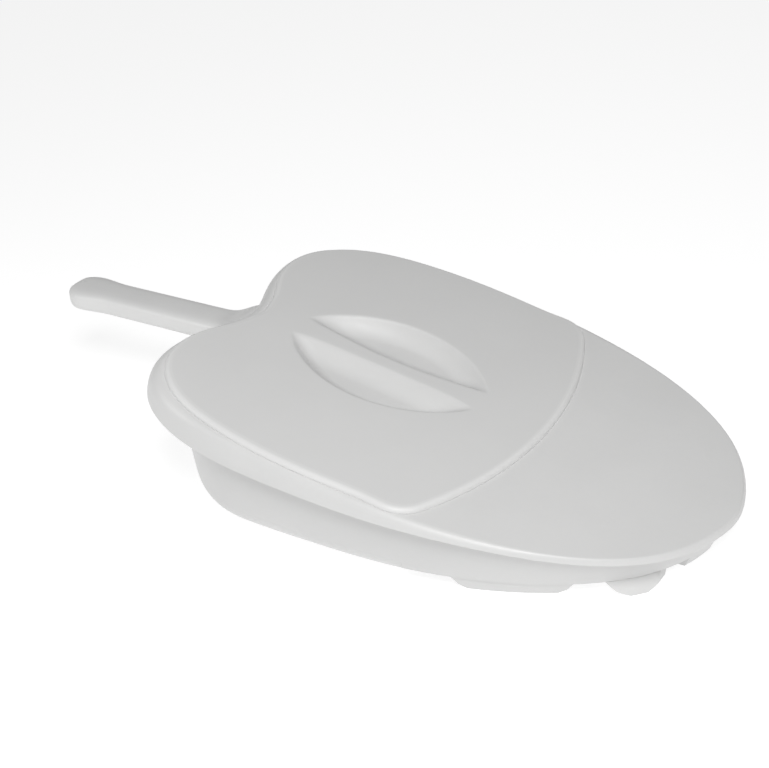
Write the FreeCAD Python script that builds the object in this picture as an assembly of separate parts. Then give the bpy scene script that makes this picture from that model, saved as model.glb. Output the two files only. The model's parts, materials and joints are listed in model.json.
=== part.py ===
"""Ward bedpan with a long handle and a lift-off lid, in millimetres.

The pan is one polypropylene moulding and the lid is another.  Each is divided here
at its natural boundaries, so every wall, rim and foot is a solid of its own.

The design is laid out along u, the distance from the back of the rim towards the
nose, with y across the pan and z up from the ground.  The finished solids are then
shifted along X so that the origin is the centre of the whole object's footprint.
"""
import FreeCAD, Part
import math
import os

from FreeCAD import Vector

# Driving dimensions of the pan.
PAN_LENGTH = 378.0
HANDLE_REACH = 146.0
SEAT_HEIGHT = 90.5
NOSE_HEIGHT = 21.3
SKIN = 3.0

# Half of the rim's outer edge, from the handle's notch round to the nose.
RIM_HALF_EDGE = [
    (19, 0), (14.5, 18), (6.5, 38), (1.5, 61), (3.5, 85), (12.5, 102.5), (28.5, 116),
    (50, 125.5), (82, 131.5), (140, 133.3), (198, 131.3), (248, 123), (290, 108.5),
    (323, 90.5), (347.5, 70.5), (364, 48), (374, 24), (378, 0),
]

# The rolled edge: how far it comes in, at the back, sides and front, and turns down.
ROLL_WIDTH = (14.5, 7.0, 2.5)
ROLL_DEPTH_BACK = 22.0
ROLL_DEPTH_NOSE = 4.5
BAND_BACK = 17.5
BAND_NOSE = 3.6
BAND_TAPER = (55.0, 285.0)

# The side wall stands in from the rim's outer edge: at its top, and at the ground.
WALL_TOP_INSET = (19.0, 6.5, 3.0)
WALL_FOOT_INSET = (25.0, 11.5, 11.0)
BACK_SPAN = (10.0, 90.0)
FRONT_SPAN = (230.0, 330.0)

# The receptacle's rounded floor edge and its curved front wall.
FLOOR_RADIUS = 14.0
FRONT_WALL_U = 244.0
FRONT_WALL_LEAN = 0.21
FRONT_WALL_RADIUS = 250.0

# The seat and the apron meet under the lid, near its front corners.
SEAT_SPLIT_U = 212.0

# The skirt under the apron and the feet below it.
SKIRT_CLEARANCE = 8.0
FOOT_INSET = 0.5
FOOT_THICKNESS = 5.0
FOOT_END = 9.0
FOOT_SHOULDER = 4.0
SIDE_FEET = {"rear": (243.0, 311.0), "middle": (326.0, 351.0)}
NOSE_FOOT_Y = (12.0, 34.0)
NOSE_FOOT_START = 352.0

# The handle.
HANDLE_WIDTH = 27.0
HANDLE_END_WIDTH = 33.0
HANDLE_THICKNESS = 16.0
HANDLE_AXIS_Z = 64.5
HANDLE_EDGE = 6.5
HANDLE_SWELL = 26.5
HANDLE_ROOT_U = 60.0

# The lid, laid out in the plane of the seat.
LID_THICKNESS = 2.6
LID_GAP = 0.3
LID_EDGE = 1.1
LID_HALF_EDGE = [
    (35, 0), (29, 20), (17, 44), (13, 62), (16, 81), (29, 99.5), (50, 113.5), (80, 122.5),
    (114, 126.5), (152, 127), (192, 124.5),
]
LID_FRONT_U = 256.0
LID_FRONT_RADIUS = 250.0
LID_CORNER = 24.0
LIP_CLEARANCE = 1.5
LIP_THICKNESS = 2.0
LIP_DEPTH = 5.0

# The two finger pockets either side of the grip bar.
POCKET_CENTRE_U = 137.0
POCKET_HALF_LENGTH = 71.0
POCKET_REACH = 45.0
BAR_HALF_WIDTH = 6.0
POCKET_TIP_Y = 10.5
BAR_DEPTH = 8.0
POCKET_WALL = 2.0
POCKET_DISH = [(0.0, 0.0), (1.6, 1.9), (4.0, 5.2), (7.5, 8.0), (12.0, 9.6), (15.5, 10.0)]

# Derived values.
SLOPE = (SEAT_HEIGHT - NOSE_HEIGHT) / PAN_LENGTH
TILT = math.degrees(math.atan(SLOPE))
OUTLINE_POINTS = 64
BAND_POINTS = 41
BEYOND = 20.0
WIDE = 400.0
HIGH = 120.0
ROLL_ANGLES = (0, 15, 30, 45, 60, 75, 90)
FLOOR_ANGLES = (0, 30, 60, 90)


def smooth_step(value, start, end):
    """0 before start, 1 after end, and a smooth rise between them."""
    t = min(1.0, max(0.0, (value - start) / (end - start)))
    return t * t * (3 - 2 * t)


def along_pan(u, sizes):
    """A size that changes from the back, to the sides, to the front."""
    back, side, front = sizes
    size = back + (side - back) * smooth_step(u, *BACK_SPAN)
    return size + (front - side) * smooth_step(u, *FRONT_SPAN)


def seat_plane(depth_back, depth_nose):
    """Height against u of a plane below the seat, as (height at the back, fall per mm)."""
    return SEAT_HEIGHT - depth_back, SLOPE + (depth_nose - depth_back) / PAN_LENGTH


def height_on(plane, u):
    return plane[0] - plane[1] * u


def closed_curve(points):
    curve = Part.BSplineCurve()
    curve.interpolate(Points=points, PeriodicFlag=True)
    return curve


def mirrored(half):
    """A closed outline from its half: the points on the axis are not repeated."""
    other = [(u, -y) for u, y in reversed(half[1:-1])]
    return [Vector(u, y, 0) for u, y in half + other]


def rim_stations():
    """Points round the rim's outer edge, each with its inward direction."""
    curve = closed_curve(mirrored(RIM_HALF_EDGE))
    first, last = curve.FirstParameter, curve.LastParameter
    stations = []
    for k in range(OUTLINE_POINTS):
        at = first + (last - first) * k / OUTLINE_POINTS
        along = curve.tangent(at)[0]
        stations.append((curve.value(at), Vector(along.y, -along.x, 0)))
    return stations


STATIONS = rim_stations()


def wire_through(points):
    return Part.Wire([closed_curve(points).toShape()])


def rim_section(inset, roll_share, plane):
    """The rim's outline in a sloping plane, brought in by an inset and a share of the roll."""
    points = []
    for point, inward in STATIONS:
        moved = point + inward * (inset + roll_share * along_pan(point.x, ROLL_WIDTH))
        points.append(Vector(moved.x, moved.y, height_on(plane, moved.x)))
    return wire_through(points)


def wall_section(offset, plane, extra=0.0):
    """The side wall's outline, offset inwards, where it crosses a plane."""
    points = []
    for point, inward in STATIONS:
        top_inset = along_pan(point.x, WALL_TOP_INSET) + offset
        foot_inset = along_pan(point.x, WALL_FOOT_INSET) + offset
        top = point + inward * top_inset
        top.z = height_on(seat_plane(SKIN, SKIN), top.x)
        foot = point + inward * foot_inset
        run = foot - top
        reach = (height_on(plane, top.x) - top.z) / (run.z + plane[1] * run.x)
        points.append(top + run * reach + inward * extra)
    return wire_through(points)


def loft(wires, ruled=False):
    return Part.makeLoft(wires, True, ruled)


def level(z):
    return z, 0.0


def box_between(low, high):
    size = [b - a for a, b in zip(low, high)]
    return Part.makeBox(*size, Vector(*low))


def profile_across(points):
    """A solid with the given outline in the u-z plane, running right across the pan."""
    corners = [Vector(u, -WIDE / 2, z) for u, z in points]
    face = Part.Face(Part.makePolygon(corners + corners[:1]))
    return face.extrude(Vector(0, WIDE, 0))


def rolled_solid(inset):
    """The full solid inside the rolled edge, brought in and down by the inset."""
    sections = []
    for angle in ROLL_ANGLES:
        turn_in = 1 - math.sin(math.radians(angle))
        turn_down = 1 - math.cos(math.radians(angle))
        plane = seat_plane(inset + ROLL_DEPTH_BACK * turn_down,
                           inset + ROLL_DEPTH_NOSE * turn_down)
        sections.append(rim_section(inset, turn_in, plane))
    return loft(sections)


def rolled_skin():
    """The seat, apron and rolled edge as one curved skin, closed over the bowl."""
    return rolled_solid(0.0).cut(rolled_solid(SKIN)).cut(below_band())


def below_band():
    """Everything under the rolled edge's lower line."""
    line = []
    for k in range(BAND_POINTS):
        u = -BEYOND + k * (PAN_LENGTH + 2 * BEYOND) / (BAND_POINTS - 1)
        band = BAND_BACK + (BAND_NOSE - BAND_BACK) * smooth_step(u, *BAND_TAPER)
        line.append((u, height_on(seat_plane(band, band), u)))
    return profile_across(line + [(line[-1][0], -BEYOND), (line[0][0], -BEYOND)])


def side_walls(offset, top_depth, foot_z):
    """The solid inside the side wall, straight down to foot_z."""
    top = wall_section(offset, seat_plane(top_depth, top_depth))
    return loft([top, wall_section(offset, level(foot_z))], ruled=True)


def rounded_walls(offset, top_depth):
    """The solid inside the side wall, with the rounded floor edge of the receptacle."""
    radius = FLOOR_RADIUS - offset
    straight = side_walls(offset, top_depth, FLOOR_RADIUS)
    sections = []
    for angle in FLOOR_ANGLES:
        drop = radius * math.sin(math.radians(angle))
        turn_in = radius * (1 - math.cos(math.radians(angle)))
        sections.append(wall_section(offset, level(FLOOR_RADIUS - drop), turn_in))
    return straight.fuse(loft(sections))


def front_wire(u, z):
    """An outline that takes in everything behind the receptacle's front wall."""
    half = WIDE / 2
    side = u - FRONT_WALL_RADIUS + math.sqrt(FRONT_WALL_RADIUS ** 2 - half ** 2)
    right, left = Vector(side, -half, z), Vector(side, half, z)
    front = Part.Arc(right, Vector(u, 0, z), left).toShape()
    corners = [left, Vector(-half, half, z), Vector(-half, -half, z), right]
    return Part.Wire([front] + [Part.makeLine(p, q) for p, q in zip(corners, corners[1:])])


def behind_front_wall(offset):
    """Everything behind the receptacle's front wall, with its rounded floor edge."""
    radius = FLOOR_RADIUS - offset
    wall_u = FRONT_WALL_U - offset
    lean = FRONT_WALL_LEAN * (HIGH - FLOOR_RADIUS)
    upper = loft([front_wire(wall_u + lean, HIGH), front_wire(wall_u, FLOOR_RADIUS)],
                 ruled=True)
    sections = []
    for angle in FLOOR_ANGLES:
        drop = radius * math.sin(math.radians(angle))
        turn_in = radius * (1 - math.cos(math.radians(angle)))
        sections.append(front_wire(wall_u - turn_in, FLOOR_RADIUS - drop))
    return upper.fuse(loft(sections))


def receptacle_space(offset, top_depth):
    """The receptacle as a full solid, offset inwards from its outside."""
    return rounded_walls(offset, top_depth).common(behind_front_wall(offset))


def receptacle():
    return receptacle_space(0.0, SKIN).cut(receptacle_space(SKIN, -SKIN))


def skirt():
    """The side wall carried on under the apron, clear of the ground."""
    wall = side_walls(0.0, SKIN, 0.0).cut(side_walls(SKIN, 0.0, -SKIN))
    wall = wall.cut(behind_front_wall(0.0))
    return wall.cut(box_between((-WIDE, -WIDE, -SKIN - 1), (2 * WIDE, WIDE, SKIRT_CLEARANCE)))


def foot_band():
    """A low band just inside the skirt's lower edge, down to the ground."""
    outer = side_walls(FOOT_INSET, SKIN, 0.0)
    inner = side_walls(FOOT_INSET + FOOT_THICKNESS, 0.0, -SKIN)
    reach = box_between((0, -WIDE, 0), (2 * WIDE, WIDE, SKIRT_CLEARANCE))
    return outer.cut(inner).common(reach)


def foot_profile(start, end):
    """A foot's side view: flat underneath, with sloping rounded ends."""
    rise = SKIRT_CLEARANCE
    corners = [(start, rise), (start + FOOT_SHOULDER, rise / 3), (start + FOOT_END, 0),
               (end - FOOT_END, 0), (end - FOOT_SHOULDER, rise / 3), (end, rise)]
    return profile_across(corners)


def add_feet(nodes):
    """Three feet on the right and their mirror images on the left."""
    band = foot_band()
    right = box_between((0, -WIDE, -1), (WIDE, 0, WIDE))
    near, far = NOSE_FOOT_Y
    nose = box_between((NOSE_FOOT_START, -far, -1), (WIDE, -near, WIDE))
    feet = {"foot_nose": band.common(nose)}
    for place, span in SIDE_FEET.items():
        feet["foot_" + place] = band.common(foot_profile(*span)).common(right)
    for name, foot in feet.items():
        nodes[name + "_right"] = foot
        nodes[name + "_left"] = foot.mirror(Vector(), Vector(0, 1, 0))


def handle():
    """A flat bar with soft edges and a wider, round end."""
    half, bulb = HANDLE_WIDTH / 2, HANDLE_END_WIDTH / 2
    tip = -HANDLE_REACH
    widest = tip + bulb
    neck = widest + HANDLE_SWELL
    pull = Vector(-HANDLE_SWELL, 0, 0)
    side = Part.makeLine(Vector(HANDLE_ROOT_U, half, 0), Vector(neck, half, 0))
    swell = Part.BSplineCurve()
    swell.interpolate(
        Points=[Vector(neck, half, 0), Vector(widest, bulb, 0)],
        Tangents=[pull, pull],
        TangentFlags=[True, True])
    end = Part.Arc(Vector(widest, bulb, 0), Vector(tip, 0, 0), Vector(widest, -bulb, 0))
    upper = [side, swell.toShape()]
    lower = [edge.mirror(Vector(), Vector(0, 1, 0)) for edge in upper]
    root = Part.makeLine(Vector(HANDLE_ROOT_U, -half, 0), Vector(HANDLE_ROOT_U, half, 0))
    outline = Part.Wire(Part.__sortEdges__(upper + [end.toShape()] + lower + [root]))
    bar = Part.Face(outline).extrude(Vector(0, 0, HANDLE_THICKNESS))
    bar.translate(Vector(0, 0, HANDLE_AXIS_Z - HANDLE_THICKNESS / 2))
    long_edges = [edge for edge in bar.Edges if is_outline_edge(edge)]
    return bar.makeFillet(HANDLE_EDGE, long_edges)


def is_outline_edge(edge):
    """True for the bar's upper and lower edges, apart from those at its root."""
    box = edge.BoundBox
    return box.ZLength < 0.1 and box.XMin < HANDLE_ROOT_U - 0.1


def on_seat(shape):
    """Moves a solid from the lid's flat layout to the sloping seat."""
    turn = FreeCAD.Rotation(Vector(0, 1, 0), TILT)
    moved = shape.copy()
    moved.Placement = FreeCAD.Placement(Vector(0, 0, SEAT_HEIGHT), turn)
    return moved


def lid_outline():
    """The lid's plan: heart-shaped at the back, straight sides and an arched front."""
    back = [Vector(u, y, 0) for u, y in LID_HALF_EDGE]
    whole = list(reversed(back)) + [Vector(p.x, -p.y, 0) for p in back[1:]]
    side_u, side_y = LID_HALF_EDGE[-1]
    curve = Part.BSplineCurve()
    curve.interpolate(Points=whole)
    centre = Vector(LID_FRONT_U - LID_FRONT_RADIUS, 0, 0)
    corner_y = side_y - LID_CORNER
    run = LID_FRONT_RADIUS - LID_CORNER
    corner_u = centre.x + math.sqrt(run ** 2 - corner_y ** 2)
    corner = Vector(corner_u, corner_y, 0)
    start = Vector(corner_u, side_y, 0)
    outward = (corner - centre).normalize()
    meet = corner + outward * LID_CORNER
    between = (outward + Vector(0, 1, 0)).normalize()
    bend = Part.Arc(start, corner + between * LID_CORNER, meet)
    side = Part.makeLine(Vector(side_u, side_y, 0), start)
    mirror = Vector(meet.x, -meet.y, 0)
    front = Part.Arc(meet, Vector(LID_FRONT_U, 0, 0), mirror)
    pair = [side, bend.toShape()]
    pair += [edge.mirror(Vector(), Vector(0, 1, 0)) for edge in pair]
    edges = [curve.toShape(), front.toShape()] + pair
    return Part.Wire(Part.__sortEdges__(edges))


def arc_circle(chord_y, top_y):
    """Radius and centre height of the arc over the pocket's length from chord_y to top_y."""
    rise = abs(top_y - chord_y)
    radius = (POCKET_HALF_LENGTH ** 2 + rise ** 2) / (2 * rise)
    return radius, top_y - math.copysign(radius, top_y - chord_y)


def half_lens(inset, z):
    """Outline of a finger pocket: a full arc outside and a flat arc along the grip bar."""
    outer_radius, outer_y = arc_circle(POCKET_TIP_Y, POCKET_REACH)
    inner_radius, inner_y = arc_circle(POCKET_TIP_Y, BAR_HALF_WIDTH)
    outer_radius -= inset
    inner_radius -= inset
    square = outer_radius ** 2 - inner_radius ** 2 - outer_y ** 2 + inner_y ** 2
    tip_y = square / (2 * (inner_y - outer_y))
    half = math.sqrt(outer_radius ** 2 - (tip_y - outer_y) ** 2)
    back_tip = Vector(POCKET_CENTRE_U - half, tip_y, z)
    front_tip = Vector(POCKET_CENTRE_U + half, tip_y, z)
    outermost = Vector(POCKET_CENTRE_U, outer_y + outer_radius, z)
    innermost = Vector(POCKET_CENTRE_U, inner_y - inner_radius, z)
    outer = Part.Arc(back_tip, outermost, front_tip)
    inner = Part.Arc(front_tip, innermost, back_tip)
    return Part.Wire([outer.toShape(), inner.toShape()])


def pocket_solid(grow, top):
    """A finger pocket's dished space, grown outwards by the wall."""
    sections = [half_lens(inset - grow, top - depth - grow * bool(depth))
                for inset, depth in POCKET_DISH]
    return loft(sections)


def lid_nodes():
    """The lid's plate, grip bar, finger pockets and locating lip."""
    top = LID_GAP + LID_THICKNESS
    plate = Part.Face(lid_outline()).extrude(Vector(0, 0, LID_THICKNESS))
    plate = plate.makeFillet(LID_EDGE, [e for e in plate.Edges if e.BoundBox.ZMin > 1])
    plate.translate(Vector(0, 0, LID_GAP))
    casing = pocket_solid(POCKET_WALL, top)
    pocket = casing.cut(pocket_solid(0.0, top))
    other = pocket.mirror(Vector(), Vector(0, 1, 0))
    other_casing = casing.mirror(Vector(), Vector(0, 1, 0))
    bar_half = POCKET_TIP_Y - POCKET_WALL
    reach = POCKET_HALF_LENGTH - POCKET_WALL
    bar = box_between((POCKET_CENTRE_U - reach, -bar_half, top - BAR_DEPTH),
                      (POCKET_CENTRE_U + reach, bar_half, top))
    bar = bar.cut(casing).cut(other_casing)
    plate = plate.cut(casing).cut(other_casing).cut(bar)
    nodes = {"lid_plate": plate, "grip_bar": bar,
             "finger_pocket_left": pocket, "finger_pocket_right": other}
    return {name: on_seat(shape) for name, shape in nodes.items()}


def locating_lip():
    """A rib under the lid that drops just inside the receptacle's mouth."""
    outer = receptacle_space(SKIN + LIP_CLEARANCE, -SKIN)
    inner = receptacle_space(SKIN + LIP_CLEARANCE + LIP_THICKNESS, -SKIN)
    slab = on_seat(box_between((-WIDE, -WIDE, -LIP_DEPTH), (WIDE, WIDE, LID_GAP)))
    return outer.cut(inner).common(slab)


def largest(shape):
    """The main solid of a cut, without the slivers it may leave."""
    return max(shape.Solids, key=lambda solid: solid.Volume)


def pan_nodes():
    """The pan's seat, apron, receptacle, skirt, feet and handle."""
    grip = largest(handle().cut(receptacle_space(0.0, SKIN)))
    skin = rolled_skin().cut(receptacle_space(SKIN, -SKIN)).cut(grip)
    bowl = largest(receptacle().cut(skin))
    wall = largest(skirt().cut(skin))
    split = box_between((-WIDE, -WIDE, -WIDE), (SEAT_SPLIT_U, WIDE, WIDE))
    nodes = {"seat_rim": skin.common(split), "apron": skin.cut(split),
             "receptacle": bowl, "skirt": wall, "handle": grip}
    add_feet(nodes)
    return nodes


def main():
    os.makedirs("parts", exist_ok=True)
    nodes = pan_nodes()
    nodes.update(lid_nodes())
    nodes["lid_locating_lip"] = locating_lip()
    handle_end = nodes["handle"].optimalBoundingBox().XMin
    nose = nodes["apron"].optimalBoundingBox().XMax
    origin_u = (handle_end + nose) / 2
    print("origin at u =", round(origin_u, 2), "length", round(nose - handle_end, 2))
    for name, shape in nodes.items():
        solids = shape.Solids
        placed = solids[0] if len(solids) == 1 else Part.makeCompound(solids)
        placed.translate(Vector(-origin_u, 0, 0))
        placed.exportStep("parts/" + name + ".step")
        box = placed.optimalBoundingBox()
        print(name, len(solids), placed.isValid(), round(placed.Volume / 1000, 1),
              [round(v, 1) for v in (box.XMin, box.XMax, box.YMin, box.YMax,
                                     box.ZMin, box.ZMax)])


main()
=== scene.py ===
import json
import math

import bpy
from mathutils import Matrix, Vector


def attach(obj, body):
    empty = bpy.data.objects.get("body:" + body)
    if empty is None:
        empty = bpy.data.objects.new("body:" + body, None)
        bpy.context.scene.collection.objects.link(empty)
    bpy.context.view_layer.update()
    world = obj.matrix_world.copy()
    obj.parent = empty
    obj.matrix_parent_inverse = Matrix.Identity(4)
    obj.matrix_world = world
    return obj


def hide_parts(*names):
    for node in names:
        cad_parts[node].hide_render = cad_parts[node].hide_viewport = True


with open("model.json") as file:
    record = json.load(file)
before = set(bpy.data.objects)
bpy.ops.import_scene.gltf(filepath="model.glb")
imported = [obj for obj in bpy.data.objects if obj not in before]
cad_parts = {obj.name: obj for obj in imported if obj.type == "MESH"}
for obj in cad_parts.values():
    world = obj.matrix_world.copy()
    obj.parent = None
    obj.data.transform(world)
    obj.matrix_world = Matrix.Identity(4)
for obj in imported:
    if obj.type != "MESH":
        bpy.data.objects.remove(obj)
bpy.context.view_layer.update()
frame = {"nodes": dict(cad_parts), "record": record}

# The view: azimuth 0 looks along +Y, elevation is above the floor, angles in degrees.
VIEW_AZIMUTH = 34.63
VIEW_ELEVATION = 30.95
VIEW_ROLL = -5.28
CAMERA_PLACE = Vector((0.4755, -0.6672, 0.5367))
FOCAL_PIXELS = 1406.6
IMAGE_WIDTH = 769
SENSOR = 36.0
CLIP_START = 0.02

# The design's layout, in millimetres: u runs from the back of the rim to the nose.
ORIGIN_U = 115.97
PAN_LENGTH = 378.0
SEAT_HEIGHT = 90.5
NOSE_HEIGHT = 21.3
SEAT_SLOPE = (SEAT_HEIGHT - NOSE_HEIGHT) / PAN_LENGTH
SLOPE_COS = 1 / math.sqrt(1 + SEAT_SLOPE ** 2)

# Half the lid's outline as (u, y), from the middle of its back to the straight stretch
# before its front corner.
LID_HALF_EDGE = [
    (35, 0), (29, 20), (17, 44), (13, 62), (16, 81), (29, 99.5), (50, 113.5), (80, 122.5),
    (114, 126.5), (152, 127), (192, 124.5),
]
LID_FRONT_U = 256.0
LID_FRONT_RADIUS = 250.0
LID_CORNER = 24.0
LID_TOP = 2.9
LID_UNDERSIDE = 0.3
# The lid's edge from its underside round to the top: inset and height.
LID_EDGE = [
    (3.0, 0.3), (1.2, 0.05), (0.2, -0.12), (0.0, -0.1), (0.1, 0.3), (0.3, 0.8), (0.6, 1.3),
    (1.0, 1.8), (1.5, 2.22), (2.1, 2.55), (2.9, 2.8), (3.9, 2.9),
]
# The crown's height and half width, and the stretches of u where it rises and falls.
LID_CROWN = 0.7
CROWN_HALF_WIDTH = 128.0
CROWN_RISE = (15.0, 110.0)
CROWN_FALL = (150.0, 256.0)

# The lid's mesh: steps along the outline's parts, then points around and rows across.
HALF_EDGE_STEPS = 160
CORNER_STEPS = 24
FRONT_STEPS = 80
LID_AROUND = 560
LID_ACROSS = 110
NORMAL_REACH = 3
# The rows close in on this stretch of the middle line, and stop just short of it.
SPINE = (75.0, 190.0)
SPINE_SHARE = 0.9999
# The painted highlight's strength on the two innermost rings that carry it, as the edge
# attribute's value there.
PAINTED_HIGHLIGHT_FADE = 0.4

POCKET_CENTRE_U = 137.0
POCKET_HALF_LENGTH = 71.0
POCKET_TIP_Y = 10.5
POCKET_REACH = 45.0
BAR_HALF_WIDTH = 6.0
POCKET_DEPTH = 8.8
# Outer edge, then bar edge: the softness of each, and the run of its slope.
POCKET_SOFT = (0.9, 1.8)
POCKET_RUN = (14.0, 15.0)
POCKET_ROUNDNESS = 1.9
POCKET_WALL = 2.0
# The bar's sink, and the stretch from the bar's middle where it fades out.
BAR_SINK = 1.8
BAR_FADE = (10.0, 66.0)

# The middle feet, in metres: they splay away from a vertical line at FOOT_CENTRE_X.
FOOT_SPLAY = 0.009
FOOT_CENTRE_X = 0.16
FOOT_HEIGHT = 0.008

HANDLE_TIP = -146.0
HANDLE_TIP_ROUND = 7.0
HANDLE_ROOT = 38.0
HANDLE_HALF = 14.6
HANDLE_BULB = 17.2
HANDLE_SWELL = 26.5
HANDLE_Z = 65.2
HANDLE_THICKNESS = 16.0
# The cross section is a rounded oblong: powers below 1 make its sides fuller.
HANDLE_SIDE_POWER = 0.54
HANDLE_TOP_POWER = 0.6
# The flare's stretch of u, and how far it grows sideways, upwards and downwards.
FLARE_SPAN = (-14.0, 24.0)
FLARE_SIDE = 9.0
FLARE_UP = 8.5
FLARE_DOWN = 4.0
# The handle's mesh: points around, degrees between the tip's rings, rings to the root.
HANDLE_AROUND = 56
TIP_DEGREES = 4
HANDLE_RINGS = 90

# The plastic's noise textures: scale, detail and roughness.
CLOUDS = (16.0, 3.0, 0.55)
SPECKS = (300.0, 3.0, 0.6)
GRAIN = (420.0, 4.0, 0.6)
SCUFFS = (60.0, 5.0, 0.7)
RIPPLE = (38.0, 2.0, 0.5)
PEEL = (700.0, 2.0, 0.5)
SCUFF_STRETCH = (0.4, 3.0, 1.0)
# The part of a noise's range that is spread out.
NOISE_RANGE = (0.3, 0.7)
# Scuffs add this much to the roughness, and grain then multiplies it.
SCUFF_ROUGHNESS = (-0.03, 0.06)
GRAIN_ROUGHNESS = (0.9, 1.12)
# How much brighter the colour is where the edge attribute is 1: a highlight painted along
# the lid's edge.
PAINTED_HIGHLIGHT_LIFT = 1.09
# The bumps: strength, then distance in metres.
RIPPLE_BUMP = (0.10, 0.0008)
PEEL_BUMP = (0.06, 0.0002)
SPECULAR = 0.45

FLOOR_HALF = 6.0
FLOOR_DROP = 0.0005
FLOOR_GREY = 0.35
FLOOR_ROUGHNESS = 0.9
FLOOR_GLOW = 0.8
WORLD_GLOW = 0.2
# The lights: name, place, target, size in metres and power in watts.
LIGHTS = [
    ("key", (0.45, -0.5, 1.0), (0, 0, 0.05), 0.6, 9.5),
    ("fill", (-0.42, -0.28, 0.3), (-0.2, 0, 0.06), 0.2, 0.32),
]


def smooth(value, start, end):
    """A soft step from 0 at start to 1 at end."""
    t = min(1.0, max(0.0, (value - start) / (end - start)))
    return t * t * (3 - 2 * t)


def spline(points, steps):
    """A natural cubic curve through the points, as a list of (u, y)."""
    knots = [0.0]
    for p, q in zip(points, points[1:]):
        knots.append(knots[-1] + math.dist(p, q))
    bends = [second_derivatives(knots, [p[axis] for p in points]) for axis in (0, 1)]
    out = []
    for k in range(steps + 1):
        at = knots[-1] * k / steps
        i = max(j for j in range(len(knots) - 1) if knots[j] <= at)
        width = knots[i + 1] - knots[i]
        b = (at - knots[i]) / width
        a = 1 - b
        place = []
        for axis in (0, 1):
            m = bends[axis]
            value = a * points[i][axis] + b * points[i + 1][axis]
            value += ((a ** 3 - a) * m[i] + (b ** 3 - b) * m[i + 1]) * width ** 2 / 6
            place.append(value)
        out.append(tuple(place))
    return out


def second_derivatives(knots, values):
    """Second derivatives of the natural cubic spline at its knots."""
    count = len(knots)
    upper, right = [0.0] * count, [0.0] * count
    for i in range(1, count - 1):
        before, after = knots[i] - knots[i - 1], knots[i + 1] - knots[i]
        jump = (values[i + 1] - values[i]) / after - (values[i] - values[i - 1]) / before
        share = before / (before + after)
        pivot = share * upper[i - 1] + 2
        upper[i] = (share - 1) / pivot
        right[i] = (6 * jump / (before + after) - share * right[i - 1]) / pivot
    bends = [0.0] * count
    for i in range(count - 2, 0, -1):
        bends[i] = upper[i] * bends[i + 1] + right[i]
    return bends


def arc(centre, radius, start, end, steps):
    """Points along an arc, with its angles in radians."""
    angles = [start + (end - start) * k / steps for k in range(steps + 1)]
    return [(centre[0] + radius * math.cos(t), centre[1] + radius * math.sin(t))
            for t in angles]


def resample(points, count):
    """Evenly spaced points round a closed line."""
    line = points + points[:1]
    marks = [0.0]
    for p, q in zip(line, line[1:]):
        marks.append(marks[-1] + math.dist(p, q))
    out, i = [], 0
    for k in range(count):
        at = marks[-1] * k / count
        while marks[i + 1] < at:
            i += 1
        share = (at - marks[i]) / (marks[i + 1] - marks[i])
        out.append(tuple(a + (b - a) * share for a, b in zip(line[i], line[i + 1])))
    return out


def lid_outline():
    """The lid's outline in the seat's plane, counter-clockwise seen from above."""
    half = list(reversed(spline(LID_HALF_EDGE, HALF_EDGE_STEPS)))
    side_y = LID_HALF_EDGE[-1][1]
    centre_u = LID_FRONT_U - LID_FRONT_RADIUS
    corner_y = side_y - LID_CORNER
    corner_u = centre_u + math.sqrt((LID_FRONT_RADIUS - LID_CORNER) ** 2 - corner_y ** 2)
    swing = math.atan2(corner_y, corner_u - centre_u)
    bend = arc((corner_u, corner_y), LID_CORNER, swing, math.pi / 2, CORNER_STEPS)
    front = arc((centre_u, 0.0), LID_FRONT_RADIUS, 0.0, swing, FRONT_STEPS)
    upper = front[:-1] + bend + half
    lower = [(u, -y) for u, y in reversed(upper[1:-1])]
    return resample(upper + lower, LID_AROUND)


def inward_normals(points):
    """A unit vector into the outline at each of its points."""
    out = []
    for k in range(len(points)):
        before = points[k - NORMAL_REACH]
        after = points[(k + NORMAL_REACH) % len(points)]
        run = math.dist(before, after)
        out.append(((before[1] - after[1]) / run, (after[0] - before[0]) / run))
    return out


def pocket_depth(u, y, grow):
    """How far the finger pockets, made larger by grow, sink the surface at a point."""
    x, y = u - POCKET_CENTRE_U, abs(y)
    walls = []
    for top, soft, run in zip((POCKET_REACH, BAR_HALF_WIDTH), POCKET_SOFT, POCKET_RUN):
        rise = top - POCKET_TIP_Y
        radius = (POCKET_HALF_LENGTH ** 2 + rise ** 2) / (2 * abs(rise))
        centre = top - math.copysign(radius, rise)
        gap = radius + grow - math.hypot(x, y - centre)
        if abs(gap) < soft:
            gap = (gap + soft) ** 2 / (4 * soft)
        share = min(1.0, max(0.0, gap) / run)
        walls.append(1 - (1 - share) ** POCKET_ROUNDNESS)
    sink = BAR_SINK * walls[0] * (1 - smooth(abs(x), *BAR_FADE))
    return POCKET_DEPTH * walls[0] * walls[1] + sink


def on_seat(u, y, height):
    """A point of the lid, laid out on the sloping seat, in metres."""
    x = u * SLOPE_COS + height * SEAT_SLOPE * SLOPE_COS
    z = SEAT_HEIGHT - u * SEAT_SLOPE * SLOPE_COS + height * SLOPE_COS
    return ((x - ORIGIN_U) / 1000, y / 1000, z / 1000)


def new_piece(name, points, faces, body, material):
    """A smooth mesh that rides on a body."""
    mesh = bpy.data.meshes.new(name)
    mesh.from_pydata(points, [], faces)
    mesh.validate()
    mesh.shade_smooth()
    mesh.materials.append(material)
    piece = bpy.data.objects.new(name, mesh)
    bpy.context.scene.collection.objects.link(piece)
    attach(piece, body)
    return piece


def ring_faces(first, second, count):
    """Faces between two closed rings of points, given the index each starts at."""
    return [(first + k, first + (k + 1) % count, second + (k + 1) % count, second + k)
            for k in range(count)]


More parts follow.
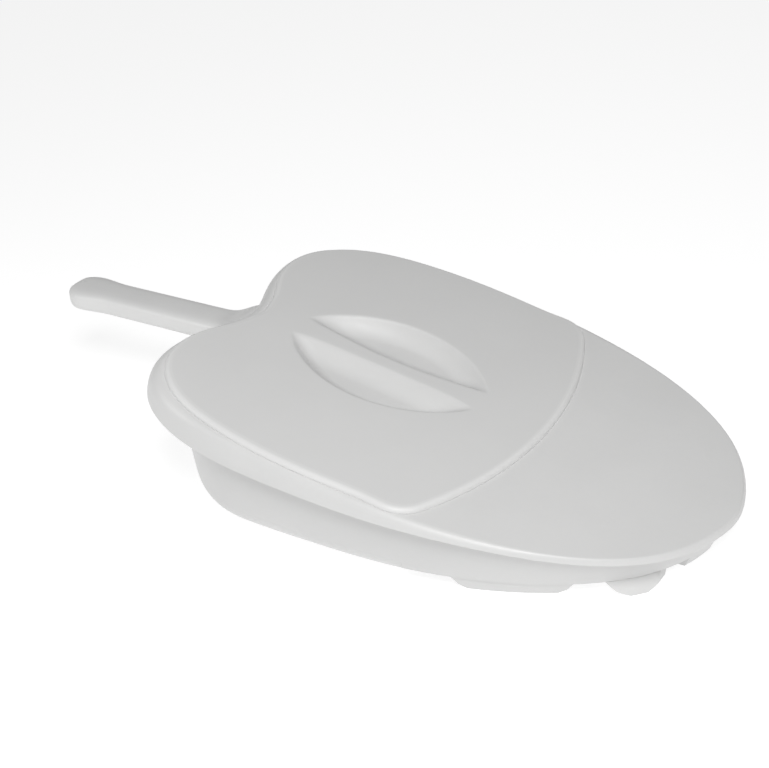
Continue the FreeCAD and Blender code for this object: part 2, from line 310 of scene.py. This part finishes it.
def lid_rows(outline, normals, inset, steps):
    """Rows of (u, y) that start near the inset outline and close in on the spine."""
    rows = []
    for step in range(1, steps + 1):
        share = step / steps
        row = []
        for (u, y), (nu, ny) in zip(outline, normals):
            start_u, start_y = u + nu * inset, y + ny * inset
            goal = min(SPINE[1], max(SPINE[0], u))
            row.append((start_u + (goal - start_u) * share,
                        start_y * (1 - share * SPINE_SHARE)))
        rows.append(row)
    return rows


def build_lid(material):
    """The lid's moulding: soft edge, slightly crowned top and two scooped pockets."""
    outline = lid_outline()
    normals = inward_normals(outline)
    points, faces = [], []
    for inset, height in LID_EDGE:
        for (u, y), (nu, ny) in zip(outline, normals):
            points.append(on_seat(u + nu * inset, y + ny * inset, height))
    for row in lid_rows(outline, normals, LID_EDGE[-1][0], LID_ACROSS):
        for u, y in row:
            crown = LID_CROWN * (1 - (y / CROWN_HALF_WIDTH) ** 2)
            crown *= smooth(u, *CROWN_RISE)
            crown *= 1 - smooth(u, *CROWN_FALL)
            points.append(on_seat(u, y, LID_TOP + crown - pocket_depth(u, y, 0.0)))
    rows = len(LID_EDGE) + LID_ACROSS
    for k in range(rows - 1):
        faces += ring_faces(k * LID_AROUND, (k + 1) * LID_AROUND, LID_AROUND)
    under = len(points)
    for row in lid_rows(outline, normals, LID_EDGE[0][0], LID_ACROSS // 2):
        for u, y in row:
            depth = pocket_depth(u, y, POCKET_WALL)
            points.append(on_seat(u, y, LID_UNDERSIDE - depth))
    for k in range(LID_ACROSS // 2 - 1):
        first = under + k * LID_AROUND
        faces += [face[::-1] for face in ring_faces(first, first + LID_AROUND, LID_AROUND)]
    faces += [face[::-1] for face in ring_faces(0, under, LID_AROUND)]
    lid = new_piece("lid_moulding", points, faces, "lid", material)
    # The edge attribute marks where a highlight is painted: full on the edge rings, fading
    # over the next two.
    edge = lid.data.attributes.new("edge", "FLOAT", "POINT")
    full = LID_AROUND * (len(LID_EDGE) - 1)
    for k in range(full + 2 * LID_AROUND):
        edge.data[k].value = 1.0 if k < full else PAINTED_HIGHLIGHT_FADE
    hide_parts("lid_plate", "grip_bar", "finger_pocket_left", "finger_pocket_right")


def handle_half(u):
    """Half the handle's width at u."""
    widest = HANDLE_TIP + HANDLE_BULB
    if u < widest:
        return math.sqrt(max(0.0, HANDLE_BULB ** 2 - (widest - u) ** 2))
    swell = 1 - smooth(u, widest, widest + HANDLE_SWELL)
    return HANDLE_HALF + (HANDLE_BULB - HANDLE_HALF) * swell


def handle_stations():
    """Where the handle's rings lie, closer together round the tip."""
    stations = [HANDLE_TIP + HANDLE_BULB * (1 - math.cos(math.radians(a)))
                for a in range(TIP_DEGREES, 90, TIP_DEGREES)]
    last = stations[-1]
    stations += [last + (HANDLE_ROOT - last) * k / HANDLE_RINGS
                 for k in range(1, HANDLE_RINGS + 1)]
    return stations


def build_handle(material):
    """The handle: a flat rounded bar that flares softly into the rim's notch."""
    points, faces = [], []
    stations = handle_stations()
    for u in stations:
        half = handle_half(u)
        flare = smooth(u, *FLARE_SPAN) ** 2
        end = 1 - min(1.0, (u - HANDLE_TIP) / HANDLE_TIP_ROUND)
        thick = HANDLE_THICKNESS / 2 * math.sqrt(1 - end ** 2)
        for k in range(HANDLE_AROUND):
            t = 2 * math.pi * k / HANDLE_AROUND
            side, top = math.cos(t), math.sin(t)
            y = math.copysign(abs(side) ** HANDLE_SIDE_POWER, side)
            y *= half + FLARE_SIDE * flare
            z = math.copysign(abs(top) ** HANDLE_TOP_POWER, top) * thick
            z += flare * (FLARE_UP if top > 0 else FLARE_DOWN) * top
            points.append(((u - ORIGIN_U) / 1000, y / 1000, (HANDLE_Z + z) / 1000))
    last = (len(stations) - 1) * HANDLE_AROUND
    for first in range(0, last, HANDLE_AROUND):
        faces += ring_faces(first, first + HANDLE_AROUND, HANDLE_AROUND)
    faces.append(tuple(range(HANDLE_AROUND))[::-1])
    faces.append(tuple(range(last, last + HANDLE_AROUND)))
    handle = new_piece("handle_moulding", points, faces, "pan", material)
    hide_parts("handle")


def build_splayed_feet(material):
    """The middle feet, splayed outwards towards the ground."""
    for name in ("foot_middle_right", "foot_middle_left"):
        node = frame["nodes"][name]
        points = []
        for vertex in node.data.vertices:
            place = node.matrix_world @ vertex.co
            away = Vector((place.x - FOOT_CENTRE_X, place.y, 0)).normalized()
            points.append(place + away * FOOT_SPLAY * (1 - place.z / FOOT_HEIGHT))
        faces = [tuple(face.vertices) for face in node.data.polygons]
        foot = new_piece(name + "_splayed", points, faces, "pan", material)
        foot.data.shade_flat()
        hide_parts(name)


def plastic(name, colour, roughness, mottle):
    """White moulded polypropylene: cloudy mottling, moulding ripple, fine scuffs and a
    highlight painted along the lid's edge.
    """
    material = bpy.data.materials.new(name)
    material.use_nodes = True
    nodes, links = material.node_tree.nodes, material.node_tree.links
    shader = nodes["Principled BSDF"]
    shader.inputs["Specular IOR Level"].default_value = SPECULAR
    place = nodes.new("ShaderNodeTexCoord")

    def noise(texture, stretch=(1, 1, 1)):
        scale, detail, rough = texture
        spread = nodes.new("ShaderNodeMapping")
        spread.inputs["Scale"].default_value = stretch
        links.new(place.outputs["Object"], spread.inputs["Vector"])
        node = nodes.new("ShaderNodeTexNoise")
        node.inputs["Scale"].default_value = scale
        node.inputs["Detail"].default_value = detail
        node.inputs["Roughness"].default_value = rough
        links.new(spread.outputs["Vector"], node.inputs["Vector"])
        return node.outputs["Fac"]

    def spread_to(value, low, high):
        node = nodes.new("ShaderNodeMapRange")
        node.inputs["From Min"].default_value = NOISE_RANGE[0]
        node.inputs["From Max"].default_value = NOISE_RANGE[1]
        node.inputs["To Min"].default_value = low
        node.inputs["To Max"].default_value = high
        links.new(value, node.inputs["Value"])
        return node.outputs["Result"]

    def times(first, second):
        node = nodes.new("ShaderNodeMath")
        node.operation = "MULTIPLY"
        links.new(first, node.inputs[0])
        links.new(second, node.inputs[1])
        return node.outputs["Value"]

    def bump(height, strength, distance):
        node = nodes.new("ShaderNodeBump")
        node.inputs["Strength"].default_value = strength
        node.inputs["Distance"].default_value = distance
        links.new(height, node.inputs["Height"])
        return node

    clouds = spread_to(noise(CLOUDS), 1 - mottle, 1.0)
    specks = spread_to(noise(SPECKS), 1 - mottle / 3, 1.0)
    tint = nodes.new("ShaderNodeVectorMath")
    tint.operation = "SCALE"
    tint.inputs["Vector"].default_value = colour
    # Painted highlight: the edge attribute brightens the base colour along the lid's edge.
    edge = nodes.new("ShaderNodeAttribute")
    edge.attribute_name = "edge"
    painted_highlight = nodes.new("ShaderNodeMapRange")
    painted_highlight.inputs["To Min"].default_value = 1.0
    painted_highlight.inputs["To Max"].default_value = PAINTED_HIGHLIGHT_LIFT
    links.new(edge.outputs["Fac"], painted_highlight.inputs["Value"])
    links.new(times(times(clouds, specks), painted_highlight.outputs["Result"]), tint.inputs["Scale"])
    links.new(tint.outputs["Vector"], shader.inputs["Base Color"])
    grain = spread_to(noise(GRAIN), *GRAIN_ROUGHNESS)
    low, high = (roughness + change for change in SCUFF_ROUGHNESS)
    scuffs = spread_to(noise(SCUFFS, SCUFF_STRETCH), low, high)
    links.new(times(grain, scuffs), shader.inputs["Roughness"])
    ripple = bump(noise(RIPPLE), *RIPPLE_BUMP)
    peel = bump(noise(PEEL), *PEEL_BUMP)
    links.new(ripple.outputs["Normal"], peel.inputs["Normal"])
    links.new(peel.outputs["Normal"], shader.inputs["Normal"])
    return material


def paint(node, material):
    """Give one CAD solid its material."""
    mesh = frame["nodes"][node].data
    mesh.materials.clear()
    mesh.materials.append(material)


def set_camera():
    """The camera, as it was fitted to the picture."""
    azimuth, elevation, roll = (
        math.radians(v) for v in (VIEW_AZIMUTH, VIEW_ELEVATION, VIEW_ROLL))
    back = Vector((math.sin(azimuth) * math.cos(elevation),
                   -math.cos(azimuth) * math.cos(elevation), math.sin(elevation)))
    level = Vector((math.cos(azimuth), math.sin(azimuth), 0))
    up = back.cross(level)
    right = level * math.cos(roll) + up * math.sin(roll)
    camera = bpy.data.objects.new("camera", bpy.data.cameras.new("camera"))
    bpy.context.scene.collection.objects.link(camera)
    turn = Matrix((right, back.cross(right), back)).transposed()
    camera.matrix_world = Matrix.Translation(CAMERA_PLACE) @ turn.to_4x4()
    camera.data.sensor_width = SENSOR
    camera.data.lens = FOCAL_PIXELS * SENSOR / IMAGE_WIDTH
    camera.data.clip_start = CLIP_START
    bpy.context.scene.camera = camera


def area_light(name, place, target, size, power):
    """A round area light at a place, turned to a target."""
    light = bpy.data.lights.new(name, "AREA")
    light.shape = "DISK"
    light.size = size
    light.energy = power
    lamp = bpy.data.objects.new(name, light)
    bpy.context.scene.collection.objects.link(lamp)
    lamp.location = place
    ray = Vector(target) - Vector(place)
    lamp.rotation_euler = ray.to_track_quat("-Z", "Y").to_euler()


def set_stage():
    """A glowing floor that shows as white, a dim white world and two lamps."""
    mesh = bpy.data.meshes.new("floor")
    s = FLOOR_HALF
    mesh.from_pydata([(-s, -s, 0), (s, -s, 0), (s, s, 0), (-s, s, 0)], [], [(0, 1, 2, 3)])
    floor = bpy.data.objects.new("floor", mesh)
    bpy.context.scene.collection.objects.link(floor)
    floor.location.z = -FLOOR_DROP
    material = bpy.data.materials.new("floor")
    material.use_nodes = True
    shader = material.node_tree.nodes["Principled BSDF"]
    shader.inputs["Base Color"].default_value = (FLOOR_GREY, FLOOR_GREY, FLOOR_GREY, 1)
    shader.inputs["Roughness"].default_value = FLOOR_ROUGHNESS
    shader.inputs["Emission Color"].default_value = (1, 1, 1, 1)
    shader.inputs["Emission Strength"].default_value = FLOOR_GLOW
    shader.inputs["Specular IOR Level"].default_value = 0.0
    mesh.materials.append(material)
    world = bpy.data.worlds.new("world")
    bpy.context.scene.world = world
    world.use_nodes = True
    background = world.node_tree.nodes["Background"]
    background.inputs["Color"].default_value = (1, 1, 1, 1)
    background.inputs["Strength"].default_value = WORLD_GLOW
    for light in LIGHTS:
        area_light(*light)
    bpy.context.scene.view_settings.view_transform = "Standard"


PAN = plastic("pan_plastic", colour=(0.74, 0.74, 0.735), roughness=0.36, mottle=0.03)
LID = plastic("lid_plastic", colour=(0.72, 0.72, 0.715), roughness=0.42, mottle=0.02)
bodies = frame["record"]["behaviour"]["bodies"]
for body, material in (("pan", PAN), ("lid", LID)):
    for node in bodies[body]:
        paint(node, material)
build_lid(LID)
build_handle(PAN)
build_splayed_feet(PAN)
set_camera()
set_stage()
